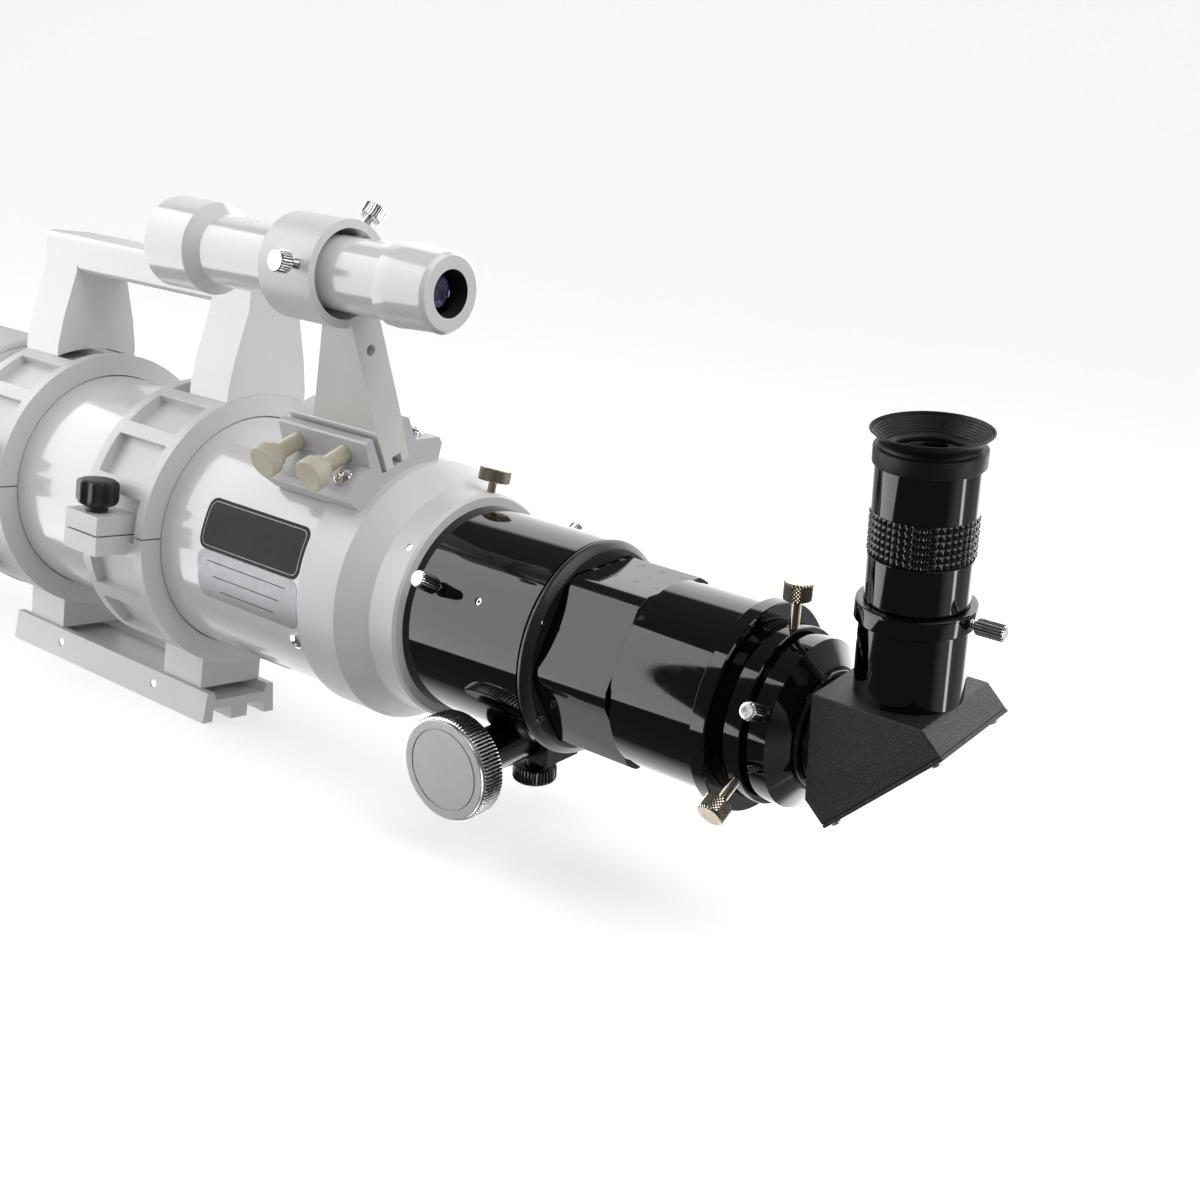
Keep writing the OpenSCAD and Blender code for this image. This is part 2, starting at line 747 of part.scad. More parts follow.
module focus_lock_knob() color(black) focuser_frame()
    translate([pinion_x, 0, 0])
        rotate([180, 0, 0])
            rotate_extrude()
                polygon([[0, -pinion_z + 8.5], [2.5, -pinion_z + 8.5], [2.5, 57.5], [4.5, 58], [4.5, 60.5],
                    [8.8, 61], [9.5, 61.8], [9.5, 67], [8.7, 68], [0, 68]]);

module body_thumbscrew(side) color(silver) focuser_frame()
    radial(side * body_thumb_roll, body_thumb_x)
        screw(1.8, hex_a + 0.4, 46, 57.5, 3.6);
module body_thumbscrew_left() body_thumbscrew(1);
module body_thumbscrew_right() body_thumbscrew(-1);

// ---- drawtube, rack and receiver ----

draw_front = -45;
round_x = 102.2;
draw_rear = 141.5;
rack_front = -38;
rack_rear = 98;

module drawtube() color(black) focuser_frame() difference() {
    union() {
        hex_bar(draw_front, round_x, hex_a, hex_r);
        turned([[round_x, 0], [round_x, draw_r - 0.4], [round_x + 0.4, draw_r], [draw_rear - 0.3, draw_r],
            [draw_rear, draw_r - 0.3], [draw_rear, 0]]);
    }
    rod(draw_front - 1, draw_rear + 1, draw_bore);
}

// rack under the drawtube; at rest a tooth of the pinion stands in a gap at pinion_x
tooth_pitch = PI * tooth_m;
rack_tip = 0.7 * tooth_m;
rack_root = 1.1 * tooth_m;
half_flat = tooth_pitch / 4 - backlash / 4;
first_tooth = ceil((rack_front + 3 - pinion_x) / tooth_pitch);
last_tooth = floor((rack_rear - 3 - pinion_x) / tooth_pitch) - 1;
function rack_tooth(x) = let (low = half_flat + rack_root * tan(20), high = half_flat - rack_tip * tan(20))
    [[x - low, rack_depth - rack_root], [x - high, rack_depth + rack_tip],
    [x + high, rack_depth + rack_tip], [x + low, rack_depth - rack_root]];

module focus_rack() color(silver) focuser_frame()
    rotate([-90, 0, 0])
        linear_extrude(6, center = true)
            polygon(concat([[rack_front, hex_a + 0.02], [rack_front, rack_depth - rack_root]],
                [for (i = [first_tooth:last_tooth]) each rack_tooth(pinion_x + (i + 0.5) * tooth_pitch)],
                [[rack_rear, rack_depth - rack_root], [rack_rear, hex_a + 0.02]]));

flange_front = draw_rear + 0.05;
flange_rear = 148;
flange_r = 40.9;
neck_r = 33.6;                            // receiver between its flange and its clamping ring
clamp_front = 150.4;
clamp_rear = 158.6;
clamp_ring_r = 34.3;
receiver_thumb_x = 156;
receiver_thumb_rolls = [0, 120, 240];

module receiver() color(black) focuser_frame() difference() {
    turned([[131, 26.5], [131, draw_bore - 0.05], [flange_front, draw_bore - 0.05],
        [flange_front, flange_r - 0.4], [flange_front + 0.4, flange_r], [flange_rear - 0.5, flange_r],
        [flange_rear, flange_r - 0.5], [flange_rear, neck_r], [clamp_front - 0.3, neck_r],
        [clamp_front - 0.3, clamp_ring_r - 1.5], [clamp_front, clamp_ring_r - 1.5],
        for (a = [160:-20:100]) [clamp_front + 1.5 + 1.5 * cos(a), clamp_ring_r - 1.5 + 1.5 * sin(a)],
        [clamp_front + 1.5, clamp_ring_r], [clamp_rear - 0.4, clamp_ring_r], [clamp_rear, clamp_ring_r - 0.4],
        [clamp_rear, two_inch_r + fit], [139, two_inch_r + fit], [138, 26.5]]);
    for (a = receiver_thumb_rolls)
        radial(a, receiver_thumb_x)
            cylinder(h = far, r = 1.9 + fit);
}

module receiver_thumbscrew(angle) color(silver) focuser_frame()
    radial(angle, receiver_thumb_x)
        screw(1.9, two_inch_r + 0.35, 45, 52, 5.6);
module receiver_thumbscrew_top() receiver_thumbscrew(receiver_thumb_rolls[0]);
module receiver_thumbscrew_left() receiver_thumbscrew(receiver_thumb_rolls[1]);
module receiver_thumbscrew_right() receiver_thumbscrew(receiver_thumb_rolls[2]);

// ---- adapter from two inches to one and a quarter ----

adapter_r = 32.3;
adapter_front = 141;
adapter_thumb_x = 164.8;
adapter_thumb_roll = 68;

module eyepiece_adapter() color(black) focuser_frame() difference() {
    turned([[adapter_front, small_r + fit], [adapter_front, two_inch_r - 0.4], [adapter_front + 0.4, two_inch_r],
        [152, two_inch_r], [152.5, two_inch_r - 0.7], [157.6, two_inch_r - 0.7], [158.1, two_inch_r],
        [clamp_rear + 0.3, two_inch_r], [clamp_rear + 0.3, 30], [160.6, 30], [160.6, adapter_r - 0.3],
        [160.9, adapter_r], [168.1, adapter_r], [173.5, 23.5], [173.5, 22.5], [175.4, 22.5], [175.7, 22.2],
        [175.7, small_r + fit]]);
    radial(adapter_thumb_roll, adapter_thumb_x)
        cylinder(h = far, r = 1.8 + fit);
}

module adapter_thumbscrew() color(silver) focuser_frame()
    radial(adapter_thumb_roll, adapter_thumb_x)
        screw(1.8, small_r + 0.35, 34.8, 44, 3.45);

// ---- star diagonal ----

diag_front = 180.7;
diag_top = 25.2;
diag_back = 223.2;
diag_low = -17;
diag_cut = 8.6;
mirror_off = 5.65;                        // from the mirror plane to the open face of the housing
mirror_t = 5;
cover_t = 1.55;

module diagonal_frame() {
    optical(diagonal_roll)
        children();
}

// children's Z axis points out of the mirror's back, X up along the mirror
module mirror_frame() {
    translate([eye_x, 0, 0])
        rotate([0, 135, 0])
            children();
}

module diag_outline() {
    rotate([90, 0, 0])
        linear_extrude(2 * diag_w, center = true)
            polygon([[diag_front, diag_top], [diag_back, diag_top], [diag_back + diag_cut, diag_top - diag_cut],
                [diag_front + diag_cut, diag_low - diag_cut], [diag_front, diag_low]]);
}

module diagonal_housing() color(black) diagonal_frame() difference() {
    diag_outline();
    mirror_frame()
        translate([-far / 2, -far / 2, mirror_off])
            cube([far, far, far]);
    mirror_frame()
        translate([-22.2, -16.2, -0.05])
            cube([44.4, 32.4, far]);
    rod(diag_front - 1, eye_x, 14.2);
    translate([eye_x, 0, 0])
        cylinder(h = far, r = 14.2);
}

module mirror_cover() color(black) diagonal_frame() intersection() {
    diag_outline();
    mirror_frame()
        translate([-far / 2, -far / 2, mirror_off + 0.02])
            cube([far, far, cover_t]);
}

module cover_screws() color(silver) diagonal_frame() mirror_frame()
    for (u = [-25.5, 25.5], v = [-20.3, 20.3])
        translate([u, v, mirror_off + cover_t + 0.04])
            pan_head(1.9, 1.4);

module diagonal_mirror() color("lightsteelblue") diagonal_frame() mirror_frame()
    translate([-22, -16, 0])
        cube([44, 32, mirror_t]);

nose_front = 146;
rib_n = 4;
module diagonal_nose() color(black) diagonal_frame()
    turned(concat([[nose_front, 14.2], [nose_front, small_r - 0.4], [nose_front + 0.4, small_r],
        [176.1, small_r], [176.1, 19.6]],
        [for (i = [0:rib_n - 1]) each [[176.3 + i, 20.4], [176.8 + i, 20.4], [177 + i, 19.6]]],
        [[diag_front - 0.04, 19.6], [diag_front - 0.04, 14.2]]));

holder_top = 59.8;
collar_low = 52.8;
collar_r = 20.8;
holder_thumb_z = 56;

module eye_frame() {
    diagonal_frame()
        translate([eye_x, 0, 0])
            children();
}

module eyepiece_holder() color(black) eye_frame() difference() {
    rotate_extrude()
        polygon([[small_r + fit, diag_top + 0.04], [holder_r, diag_top + 0.04], [holder_r, collar_low - 0.4],
            [collar_r - 0.5, collar_low], [collar_r, collar_low + 0.5], [collar_r, holder_top - 1.4],
            [collar_r - 0.4, holder_top - 0.5], [collar_r - 1.4, holder_top], [small_r + fit, holder_top]]);
    translate([0, 0, holder_thumb_z])
        rotate([0, 90, 0])
            cylinder(h = far, r = 1.8 + fit);
}

module holder_thumbscrew() color(silver) eye_frame()
    translate([0, 0, holder_thumb_z])
        rotate([0, 90, 0])
            screw(1.8, small_r + 0.35, 22.5, 33, 2.9);

// ---- eyepiece ----

grip_low = 76.4;
grip_high = 91.7;
cup_low = 107.7;
rim_z = 119.3;
rim_r = 20.2;

module eyepiece_body() color(black) eye_frame()
    rotate_extrude()
        polygon([[small_r - 1.4, holder_top + 0.3], [barrel_r + 0.1, holder_top + 0.3],
            [barrel_r + 0.1, grip_low], [barrel_r - 1, grip_low], [barrel_r - 1, grip_high],
            [barrel_r, grip_high], [barrel_r, cup_low], [15.6, cup_low], [15.6, 111.5], [10.4, 111.5],
            [10.4, 109.4], [11, 109.4], [11, 103.6], [12, 102.6], [13.6, 95.4], [13.6, 87], [12.5, 86],
            [13.5, 62]]);

module grip_band() color(black) eye_frame()
    rotate_extrude()
        polygon([[barrel_r - 0.98, grip_low + 0.02], [18.1, grip_low + 0.02], [18.3, grip_low + 0.3],
            [18.3, grip_high - 0.3], [18.1, grip_high - 0.02], [barrel_r - 0.98, grip_high - 0.02]]);

module eyecup() color("#2a2a2c") eye_frame()
    rotate_extrude()
        polygon([[15.62, cup_low + 0.02], [18.4, cup_low + 0.02], [18.6, cup_low + 0.3], [18.6, 113.2],
            [18.2, 113.6], [16.9, 113.9], [16.7, 114.6], [17.8, 116.4], [19.6, 118.3], [rim_r, 118.9],
            [rim_r, rim_z], [19.6, rim_z], [18.4, 118.2], [17.4, 117.4], [16.6, 116.4], [15.6, 115.2],
            [14.6, 114.4], [13.4, 113.4], [12.4, 112.9], [12.4, 111.6], [15.62, 111.6]]);

module eyepiece_nose() color(silver) eye_frame()
    rotate_extrude()
        polygon([[14.45, 33], [small_r - 0.4, 33], [small_r, 33.4], [small_r, holder_top + 0.28],
            [14.45, holder_top + 0.28]]);

module eyepiece_lenses() color("lightblue") eye_frame()
    rotate([0, -90, 0]) {
        lens(103.7, 109.3, 10.8, 60, 30);
        lens(87.2, 95.2, 13.4, 40, 60);
    }

dovetail_bar();
ring_base_rear();
ring_base_front();
ring_hinge_pins();
base_bolts();
ring_cap_rear();
ring_cap_front();
carry_handle();
clamp_knob_rear();
clamp_knob_front();
main_tube();
rear_cell();
tube_screws();
tube_label();
finder_shoe();
objective_cell();
crown_lens();
flint_lens();
lens_retainer();
tube_baffles();
dew_shield();
cell_thumbscrew();
focuser_body();
focuser_end_ring();
focuser_screws();
guide_pads();
pinion_housing();
pinion_shaft();
focus_knob_left();
focus_knob_right();
focus_lock_knob();
body_thumbscrew_left();
body_thumbscrew_right();
drawtube();
focus_rack();
receiver();
receiver_thumbscrew_top();
receiver_thumbscrew_left();
receiver_thumbscrew_right();
eyepiece_adapter();
adapter_thumbscrew();
diagonal_housing();
mirror_cover();
cover_screws();
diagonal_mirror();
diagonal_nose();
eyepiece_holder();
holder_thumbscrew();
eyepiece_body();
grip_band();
eyecup();
eyepiece_nose();
eyepiece_lenses();
finder_bracket();
finder_tube();
finder_lenses();
finder_screw_left();
finder_screw_right();
shoe_knob_front();
shoe_knob_rear();
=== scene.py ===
import json
import math

import bmesh
import bpy
from mathutils import Matrix, Vector


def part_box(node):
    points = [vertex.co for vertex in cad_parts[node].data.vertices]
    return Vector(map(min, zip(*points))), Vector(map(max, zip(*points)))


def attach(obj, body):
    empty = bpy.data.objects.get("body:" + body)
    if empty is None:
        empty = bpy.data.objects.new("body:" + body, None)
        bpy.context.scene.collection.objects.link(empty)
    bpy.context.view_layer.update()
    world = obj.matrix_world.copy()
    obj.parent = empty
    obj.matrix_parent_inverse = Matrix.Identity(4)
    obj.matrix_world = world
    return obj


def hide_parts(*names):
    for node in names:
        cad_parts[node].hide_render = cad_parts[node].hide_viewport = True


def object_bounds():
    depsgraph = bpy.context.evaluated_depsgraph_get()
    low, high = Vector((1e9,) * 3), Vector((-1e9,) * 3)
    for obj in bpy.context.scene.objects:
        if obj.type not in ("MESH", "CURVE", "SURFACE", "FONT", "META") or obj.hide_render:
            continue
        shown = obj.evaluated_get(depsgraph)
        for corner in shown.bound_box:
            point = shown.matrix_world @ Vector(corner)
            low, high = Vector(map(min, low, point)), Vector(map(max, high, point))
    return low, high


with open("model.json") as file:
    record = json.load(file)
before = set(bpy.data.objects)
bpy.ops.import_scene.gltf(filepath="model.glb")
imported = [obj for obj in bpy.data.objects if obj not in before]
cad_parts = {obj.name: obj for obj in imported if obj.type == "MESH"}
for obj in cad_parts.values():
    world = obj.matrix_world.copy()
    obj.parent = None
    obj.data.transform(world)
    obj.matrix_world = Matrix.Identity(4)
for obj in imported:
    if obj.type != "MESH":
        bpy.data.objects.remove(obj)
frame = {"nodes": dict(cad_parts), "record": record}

cad_box = [[float(c) for c in corner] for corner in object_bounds()]
record = frame["record"]
nodes = frame["nodes"]
body_of = {n: b for b, group in record["behaviour"]["bodies"].items() for n in group}
axis_of = {j["name"]: Vector(j["axis"]) for j in record["behaviour"]["joints"]}
pos_of = {j["name"]: Vector(j["pos_m"]) for j in record["behaviour"]["joints"] if "pos_m" in j}

MM = 0.001
low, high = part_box("main_tube")
AXIS_H = (low[2] + high[2]) / 2
CELL_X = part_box("rear_cell")[1][0]          # the optical frame's x is 0 at the rear cell's rear face
FOCUSER = math.atan2(axis_of["pinion_turn"].z, axis_of["pinion_turn"].y)
DIAGONAL = math.atan2(-axis_of["eyepiece_slide"].y, axis_of["eyepiece_slide"].z)
SHOE = math.atan2(-axis_of["shoe_knob_rear_turn"].z, -axis_of["shoe_knob_rear_turn"].y)
PHOTO_LEAN = DIAGONAL                       # the eyepiece stands upright in the picture


def optical(roll=0.0, x=0.0, y=0.0, z=0.0):
    """From millimetres in the optical frame, rolled about the axis, to the row frame."""
    return (Matrix.Translation((CELL_X, 0, AXIS_H)) @ Matrix.Rotation(roll, 4, "X")
            @ Matrix.Translation((x * MM, y * MM, z * MM)) @ Matrix.Scale(MM, 4))


def outwards(point, axis):
    """From millimetres along a screw's axis, counted from point, to the row frame."""
    return Matrix.Translation(point) @ axis.to_track_quat("Z", "Y").to_matrix().to_4x4() @ Matrix.Scale(MM, 4)


# ---- materials ----

class Shader:
    """A Principled material whose nodes are wired one call at a time."""

    def __init__(self, name, color, rough, metal=0.0, **sockets):
        self.mat = bpy.data.materials.new(name)
        self.mat.use_nodes = True
        self.tree = self.mat.node_tree
        self.bsdf = self.tree.nodes["Principled BSDF"]
        self.coords = self.tree.nodes.new("ShaderNodeTexCoord").outputs["Object"]
        self.set("Base Color", (*color, 1))
        self.set("Roughness", rough)
        self.set("Metallic", metal)
        for key, value in sockets.items():
            self.set(key.replace("_", " "), value)
        self.color = color
        self.rough = rough
        self.normal = None

    def set(self, socket, value):
        self.bsdf.inputs[socket].default_value = value

    def node(self, kind, **inputs):
        n = self.tree.nodes.new(kind)
        for key, value in inputs.items():
            n.inputs[key.replace("_", " ")].default_value = value
        return n

    def link(self, a, b):
        self.tree.links.new(a, b)

    def noise(self, scale, detail=2.0, stretch=None, rough=0.5):
        n = self.node("ShaderNodeTexNoise", Scale=scale, Detail=detail, Roughness=rough)
        source = self.coords
        if stretch:
            m = self.node("ShaderNodeMapping")
            m.inputs["Scale"].default_value = stretch
            self.link(source, m.inputs["Vector"])
            source = m.outputs["Vector"]
        self.link(source, n.inputs["Vector"])
        return n.outputs["Fac"]

    def span(self, fac, a, b, start=0.0, end=1.0):
        n = self.node("ShaderNodeMapRange")
        n.inputs["From Min"].default_value = start
        n.inputs["From Max"].default_value = end
        n.inputs["To Min"].default_value = a
        n.inputs["To Max"].default_value = b
        self.link(fac, n.inputs["Value"])
        return n.outputs["Result"]

    def vary_rough(self, fac, amount, start=0.3, end=0.7):
        self.link(self.span(fac, max(0.0, self.rough - amount), self.rough + amount, start, end),
                  self.bsdf.inputs["Roughness"])
        return self

    def vary_color(self, fac, other, start=0.35, end=0.65):
        ramp = self.node("ShaderNodeValToRGB")
        ramp.color_ramp.elements[0].position = start
        ramp.color_ramp.elements[1].position = end
        ramp.color_ramp.elements[0].color = (*self.color, 1)
        ramp.color_ramp.elements[1].color = (*other, 1)
        self.link(fac, ramp.inputs["Fac"])
        self.link(ramp.outputs["Color"], self.bsdf.inputs["Base Color"])
        return self

    def bump(self, fac, height, strength=1.0):
        n = self.node("ShaderNodeBump", Strength=strength, Distance=height)
        self.link(fac, n.inputs["Height"])
        if self.normal:
            self.link(self.normal, n.inputs["Normal"])
        self.normal = n.outputs["Normal"]
        self.link(self.normal, self.bsdf.inputs["Normal"])
        return self


def enamel(name, color, rough, peel=0.00002):
    s = Shader(name, color, rough, Coat_Weight=0.6, Coat_Roughness=0.06)
    s.vary_rough(s.noise(60, 3), 0.05)
    s.vary_color(s.noise(9, 3), tuple(c * 0.965 for c in color))
    return s.bump(s.noise(420, 2), peel, 0.35).mat


def cast(name, color, rough, grain=0.00004):
    s = Shader(name, color, rough, Coat_Weight=0.15, Coat_Roughness=0.3)
    s.vary_rough(s.noise(180, 3), 0.07)
    s.vary_color(s.noise(14, 4), tuple(c * 0.95 for c in color))
    return s.bump(s.noise(1500, 3), grain, 0.5).mat


def gloss(name, color=(0.004, 0.004, 0.0045), rough=0.045):
    s = Shader(name, color, rough, IOR=1.5)
    s.vary_rough(s.noise(240, 4), 0.02)
    s.vary_color(s.noise(700, 6, rough=0.7), tuple(c * 2.2 for c in color), 0.62, 0.72)
    return s.bump(s.noise(130, 2), 0.000006, 0.4).mat


def satin(name, color, rough, grain=0.00002, scale=2600):
    s = Shader(name, color, rough, IOR=1.5)
    s.vary_rough(s.noise(300, 3), 0.05)
    s.vary_color(s.noise(50, 3), tuple(c * 1.3 for c in color))
    return s.bump(s.noise(scale, 2), grain, 0.5).mat


def wrinkle(name, color, rough):
    s = Shader(name, color, rough, IOR=1.5)
    s.vary_rough(s.noise(900, 3), 0.08)
    s.vary_color(s.noise(1900, 2), tuple(c * 1.9 for c in color), 0.45, 0.7)
    return s.bump(s.noise(2300, 2, rough=0.6), 0.0003, 1.0).mat


def metal(name, color, rough, stretch=(1, 1, 1), grain=0.00001, scale=900, tint=None):
    s = Shader(name, color, rough, 1.0)
    s.vary_rough(s.noise(500, 4), 0.06)
    s.vary_color(s.noise(130, 4), tint or tuple(c * 0.9 for c in color), 0.4, 0.75)
    return s.bump(s.noise(scale, 4, stretch), grain, 0.6).mat


def plastic(name, color, rough, grain=0.00003, **more):
    s = Shader(name, color, rough, **more)
    s.vary_rough(s.noise(350, 3), 0.06)
    s.vary_color(s.noise(40, 3), tuple(c * 0.93 for c in color))
    return s.bump(s.noise(1100, 3), grain, 0.5).mat


def glass(name, tint, ior=1.52):
    s = Shader(name, tint, 0.0, Transmission_Weight=1.0, IOR=ior, Coat_Weight=0.4, Coat_Roughness=0.02)
    s.set("Coat Tint", (0.55, 0.45, 0.85, 1))
    s.link(s.span(s.noise(30, 2), 0.0, 0.012), s.bsdf.inputs["Roughness"])
    return s.mat


WHITE = enamel("white_enamel", (0.84, 0.84, 0.845), 0.2)
CAST = cast("white_cast", (0.76, 0.765, 0.765), 0.42)
# painted shade: the shoe is the same white as the cast parts; this darker copy paints the shade of its near face into
# its colour all over
SHOE_SHADED_WHITE = cast("shoe_white_shaded", (0.62, 0.62, 0.63), 0.45)
BRACKET = plastic("white_plastic", (0.84, 0.83, 0.81), 0.38)
GLOSS = gloss("gloss_black")
BARREL = gloss("barrel_black", (0.003, 0.003, 0.003), 0.06)
SATIN = satin("satin_black", (0.012, 0.012, 0.012), 0.34)
HOUSING = satin("housing_black", (0.006, 0.006, 0.006), 0.2)
WRINKLE = wrinkle("textured_black", (0.01, 0.01, 0.011), 0.4)
INNER = satin("matt_black_inside", (0.006, 0.006, 0.006), 0.75, 0.0002, 700)
SILVER = plastic("satin_aluminium", (0.5, 0.5, 0.51), 0.5, 0.00001, Metallic=0.55)
RIM = metal("turned_aluminium", (0.85, 0.85, 0.85), 0.24)
NICKEL = metal("nickel", (0.72, 0.66, 0.56), 0.2, tint=(0.6, 0.5, 0.36))
CHROME = metal("chrome", (0.86, 0.86, 0.87), 0.1)
STEEL = metal("screw_steel", (0.6, 0.6, 0.6), 0.24, scale=1500)
# painted shade: a dark metal put on the faces deep in the knurl grooves, where shade falls, not a colour of the metal
# itself
GROOVE_SHADE = metal("knurl_groove_shade", (0.07, 0.065, 0.055), 0.45)
CREAM = plastic("cream_plastic", (0.72, 0.68, 0.56), 0.45, Subsurface_Weight=0.1)
RUBBER = plastic("eyecup_rubber", (0.007, 0.007, 0.007), 0.5, 0.00003, Specular_IOR_Level=0.3)
GRIP = gloss("grip_band_black", (0.006, 0.006, 0.006), 0.16)
BLACK_PLASTIC = plastic("black_plastic", (0.02, 0.02, 0.02), 0.4)
PAD = plastic("slide_plastic", (0.8, 0.79, 0.75), 0.3)
LENS = glass("coated_glass", (0.93, 0.97, 1.0))
MIRROR = metal("mirror_silver", (0.93, 0.93, 0.94), 0.02, grain=0.0000004)
LABEL_BLACK = plastic("label_black", (0.006, 0.006, 0.007), 0.32, 0.000005, Specular_IOR_Level=0.12)
LABEL_SILVER = plastic("label_silver", (0.33, 0.335, 0.35), 0.42, 0.000006, Metallic=0.35)
PAINT = plastic("white_print", (0.36, 0.36, 0.36), 0.5)


# ---- meshes ----

def add(name, mesh, node=None, materials=(), body=None, sharp=32):
    """Puts a finished mesh in the scene as a piece, in place of node if there is one."""
    ob = bpy.data.objects.new(name, mesh)
    bpy.context.scene.collection.objects.link(ob)
    for m in materials:
        mesh.materials.append(m)
    mesh.polygons.foreach_set("use_smooth", [True] * len(mesh.polygons))
    if sharp:
        mesh.set_sharp_from_angle(angle=math.radians(sharp))
    if node:
        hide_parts(node)
    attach(ob, body or body_of[node])
    return ob


def turned(rows, count, place, swap=None, dark=None):
    """A mesh turned about Z: rows of (radius, z, depth, relief), relief(turn, z) being 1 in a groove.

    swap(radius, z) gives a face's material; dark is the material of faces down in a groove, a dark metal that paints
    the shade in the grooves.
    """
    verts = []
    rings = []
    for r, z, depth, relief in rows:
        if r <= 0:
            rings.append([len(verts)])
            verts.append(place @ Vector((0, 0, z)))
            continue
        ring = []
        for i in range(count):
            t = i / count
            q = r - (depth * relief(t, z) if depth else 0)
            ring.append(len(verts))
            verts.append(place @ Vector((q * math.cos(2 * math.pi * t), q * math.sin(2 * math.pi * t), z)))
        rings.append(ring)
    faces = []
    marks = []
    for k in range(len(rings) - 1):
        a, b = rings[k], rings[k + 1]
        mark = swap((rows[k][0] + rows[k + 1][0]) / 2, (rows[k][1] + rows[k + 1][1]) / 2) if swap else 0
        for i in range(count):
            j = (i + 1) % count
            if len(a) == 1 and len(b) == 1:
                continue
            if len(a) == 1:
                face = (a[0], b[j], b[i])
            elif len(b) == 1:
                face = (a[i], a[j], b[0])
            else:
                face = (a[i], a[j], b[j], b[i])
            faces.append(face)
            relief = rows[k][3] if rows[k][2] and rows[k + 1][2] else None
            # faces deep in a groove take the dark material, painted shade in the groove
            deep = dark and relief and relief((i + 0.5) / count, (rows[k][1] + rows[k + 1][1]) / 2) > 0.62
            marks.append(dark if deep else mark)
    mesh = bpy.data.meshes.new("turned")
    mesh.from_pydata(verts, [], faces)
    mesh.polygons.foreach_set("material_index", marks)
    bm = bmesh.new()
    bm.from_mesh(mesh)
    bmesh.ops.recalc_face_normals(bm, faces=bm.faces)
    bm.to_mesh(mesh)
    bm.free()
    return mesh


def near(v):
    """Distance from the nearest whole number."""
    v = v % 1.0
    return min(v, 1 - v)


def straight(teeth, width=2.4):
    return lambda t, z: 1 - min(1, width * near(teeth * t))


def diamonds(teeth, pitch):
    return lambda t, z: 1 - min(1, 2.4 * min(near(teeth * t + z / pitch), near(teeth * t - z / pitch)))


def pyramids(teeth, pitch, z0):
    return lambda t, z: 1 - 2 * min(near(teeth * t), near((z - z0) / pitch))


def thread(pitch):
    return lambda t, z: abs(2 * ((z / pitch - t) % 1.0) - 1)


def plain(*points):
    return [(r, z, 0, None) for r, z in points]


def fill(r, z0, z1, step, depth, relief):
    n = max(1, round((z1 - z0) / step))
    return [(r, z0 + (z1 - z0) * i / n, depth, relief) for i in range(n + 1)]


def arc(cx, cz, r, a0, a1, n=6):
    """Points (radius, z) of a fillet."""
    return [(cx + r * math.cos(math.radians(a0 + (a1 - a0) * i / n)),
             cz + r * math.sin(math.radians(a0 + (a1 - a0) * i / n))) for i in range(n + 1)]


def refine(node, material, width=0.25, inside=None, axis=(0.0, AXIS_H), within=1.0, angle=28):
    """The CAD node's own shape with its edges rounded; faces that look at the axis take the inside material."""
    mesh = nodes[node].data.copy()
    mesh.materials.clear()
    for extra in ("custom_normal", "sharp_edge", "sharp_face"):
        if extra in mesh.attributes:
            mesh.attributes.remove(mesh.attributes[extra])
    bm = bmesh.new()
    bm.from_mesh(mesh)
    bmesh.ops.remove_doubles(bm, verts=bm.verts, dist=2e-6)
    bmesh.ops.dissolve_limit(bm, angle_limit=math.radians(0.3), verts=bm.verts, edges=bm.edges)
    for f in bm.faces:
        f.smooth = True
        f.material_index = 0
        if inside:
            c = f.calc_center_median()
            out = Vector((0, c.y - axis[0], c.z - axis[1]))
            if out.length < within and f.normal.dot(out) < -0.3 * out.length:
                f.material_index = 1
    bm.to_mesh(mesh)
    bm.free()
    ob = add(node + ".fine", mesh, node, [material, inside] if inside else [material], sharp=0)
    if width:
        m = ob.modifiers.new("edge", "BEVEL")
        m.width = width * MM
        m.segments = 2
        m.limit_method = "ANGLE"
        m.angle_limit = math.radians(angle)
        m.miter_outer = "MITER_ARC"
    n = ob.modifiers.new("shade", "WEIGHTED_NORMAL")
    n.keep_sharp = False
    n.weight = 60
    return ob


# ---- pieces with relief ----

def thumbscrew(node, joint, shank, tip, bare, neck, top, head, kind, material, teeth, end):
    place = outwards(pos_of[joint], axis_of[joint])
    pitch = (top - neck - 1.2) / round((top - neck - 1.2) / 1.3)
    relief = diamonds(teeth, pitch) if kind == "diamond" else straight(teeth)
    count = teeth * 6
    step = pitch / 6 if kind == "diamond" else (top - neck)
    deep = 0.5
    rows = plain((0, tip), (shank - 0.4, tip), (shank - 0.05, tip + 0.35), (shank - 0.05, bare))
    rows += fill(shank, bare + 0.05, neck - 0.5, 0.18, 0.22, thread(0.72))
    rows += plain((shank - 0.05, neck - 0.4), (shank - 0.05, neck), (head - 1.5, neck), (head - 1.3, neck + 0.1))
    rows += [(head - 0.55, neck + 0.15, deep * 0.3, relief)]
    rows += fill(head, neck + 0.6, top - 0.6, step, deep, relief)
    rows += [(head - 0.5, top - 0.12, deep * 0.3, relief)]
    rows += plain((head - 0.85, top), (head - 1.2, top), (0.9, top), (0, top - 0.03))
    mesh = turned(rows, count, place, lambda r, z: 1 if z > top - 0.3 else 0, 2)
    add(node + ".fine", mesh, node, [material, end, GROOVE_SHADE], sharp=25)


